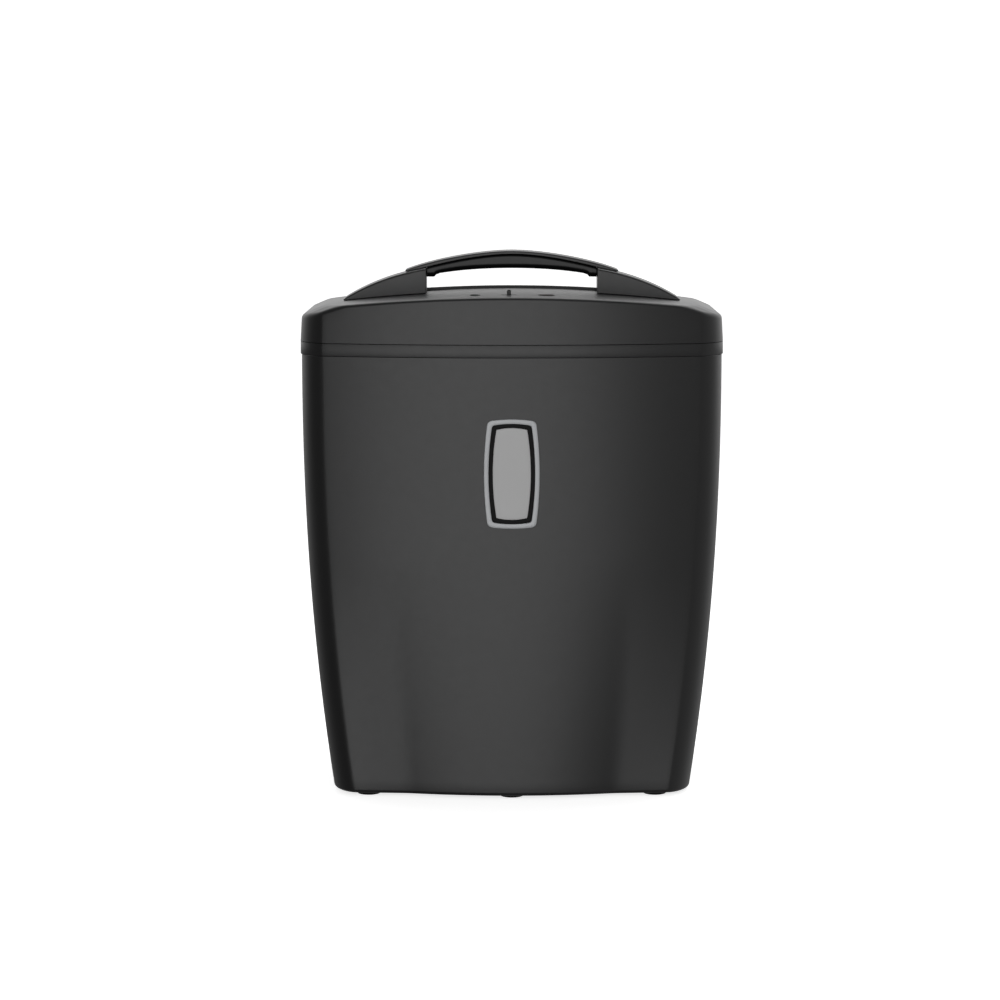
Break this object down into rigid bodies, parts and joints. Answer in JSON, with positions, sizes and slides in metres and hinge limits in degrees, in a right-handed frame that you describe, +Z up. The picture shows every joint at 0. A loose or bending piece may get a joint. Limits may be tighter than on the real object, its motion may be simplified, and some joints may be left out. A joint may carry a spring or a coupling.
{
  "type": "paper shredder",
  "caption": "Office paper shredder: tapered bin with a framed viewing window under a lift-off cutting head with an arched carrying handle and a top feed slot.",
  "frame": {"origin": "on the floor under the middle of the bounding box", "axes": "+Z up; -Y out of the front face with the viewing window; +X to the right seen from the front"},
  "size_m": [0.36, 0.24, 0.462],
  "materials": {
    "body_plastic": "fine satin texture, dark charcoal",
    "black_trim": "smooth semi-gloss black",
    "silver_trim": "satin silver paint on plastic",
    "frosted_pane": "frosted translucent grey",
    "rubber": "matt black",
    "steel": "ground and zinc plated",
    "bush_brass": "turned",
    "gear_plastic": "natural off-white nylon",
    "motor_metal": "drawn steel can",
    "inner_plastic": "black moulded",
    "board": "green solder mask",
    "green_lens": "dark green tinted lens",
    "red_lens": "dark red tinted lens"
  },
  "bodies": {
    "bin": {"bin_shell": "body_plastic", "foot_front_centre": "rubber", "foot_front_left": "rubber", "foot_front_right": "rubber", "foot_rear_centre": "rubber", "foot_rear_left": "rubber", "foot_rear_right": "rubber", "window_bezel": "silver_trim", "window_gasket": "rubber", "window_pane": "frosted_pane"},
    "head": {"bush_front_left": "bush_brass", "bush_front_right": "bush_brass", "bush_rear_left": "bush_brass", "bush_rear_right": "bush_brass", "control_board": "board", "cord_gland": "rubber", "cover_screw_front_left": "steel", "cover_screw_front_right": "steel", "cover_screw_rear_left": "steel", "cover_screw_rear_right": "steel", "feed_throat": "black_trim", "frame_plate_left": "steel", "frame_plate_right": "steel", "front_comb": "inner_plastic", "gear_plate": "steel", "handle_lower_bar": "black_trim", "handle_pod_left": "body_plastic", "handle_pod_right": "body_plastic", "handle_upper_grip": "body_plastic", "head_base": "body_plastic", "head_top_cover": "body_plastic", "idler_axle": "steel", "interlock_switch": "inner_plastic", "motor_can": "motor_metal", "motor_end_cap": "inner_plastic", "overheat_lamp_lens": "red_lens", "paper_sensor_switch": "inner_plastic", "rear_comb": "inner_plastic", "reversing_relay": "inner_plastic", "run_capacitor": "motor_metal", "standby_lamp_lens": "green_lens", "switch_body": "inner_plastic", "tie_rod_lower_front": "steel", "tie_rod_rear": "steel", "tie_rod_upper_front": "steel"},
    "front_cutter_set": {"front_cutter": "steel", "front_sync_gear": "steel"},
    "rear_cutter_set": {"rear_cutter": "steel", "rear_sync_gear": "steel", "drive_gear": "gear_plastic"},
    "idler": {"idler_gear": "gear_plastic"},
    "rotor": {"motor_rotor": "steel"},
    "knob": {"switch_knob": "black_trim"},
    "sensor_lever": {"paper_sensor_lever": "gear_plastic"},
    "plunger": {"interlock_plunger": "gear_plastic"}
  },
  "joints": [
    {"name": "head_lift", "type": "slide", "parent": "bin", "child": "head", "axis": [0, 0, 1], "range_m": [0, 0.15]},
    {"name": "front_cutter_spin", "type": "hinge", "parent": "head", "child": "front_cutter_set", "pos_m": [0, -0.0124, 0.372], "axis": [1, 0, 0], "continuous": true},
    {"name": "rear_cutter_spin", "type": "hinge", "parent": "head", "child": "rear_cutter_set", "pos_m": [0, 0.0164, 0.372], "axis": [1, 0, 0], "continuous": true},
    {"name": "idler_spin", "type": "hinge", "parent": "head", "child": "idler", "pos_m": [0.13, 0.0554, 0.372], "axis": [1, 0, 0], "continuous": true},
    {"name": "motor_spin", "type": "hinge", "parent": "head", "child": "rotor", "pos_m": [0.08, 0.0804, 0.372], "axis": [1, 0, 0], "continuous": true},
    {"name": "switch_slide", "type": "slide", "parent": "head", "child": "knob", "axis": [1, 0, 0], "range_m": [-0.004, 0.004]},
    {"name": "sensor_lever_hinge", "type": "hinge", "parent": "head", "child": "sensor_lever", "pos_m": [0, -0.0124, 0.402], "axis": [1, 0, 0], "range_deg": [-25, 0], "stiffness_Nm_per_rad": 0.002},
    {"name": "interlock_plunger_slide", "type": "slide", "parent": "head", "child": "plunger", "axis": [0, 0, 1], "range_m": [0, 0.002], "stiffness_N_per_m": 150, "springref_m": -0.002}
  ],
  "couplings": [
    {"joint": "idler_spin", "follows": "motor_spin", "ratio": -0.25},
    {"joint": "rear_cutter_spin", "follows": "motor_spin", "ratio": 0.075},
    {"joint": "front_cutter_spin", "follows": "motor_spin", "ratio": -0.075}
  ]
}
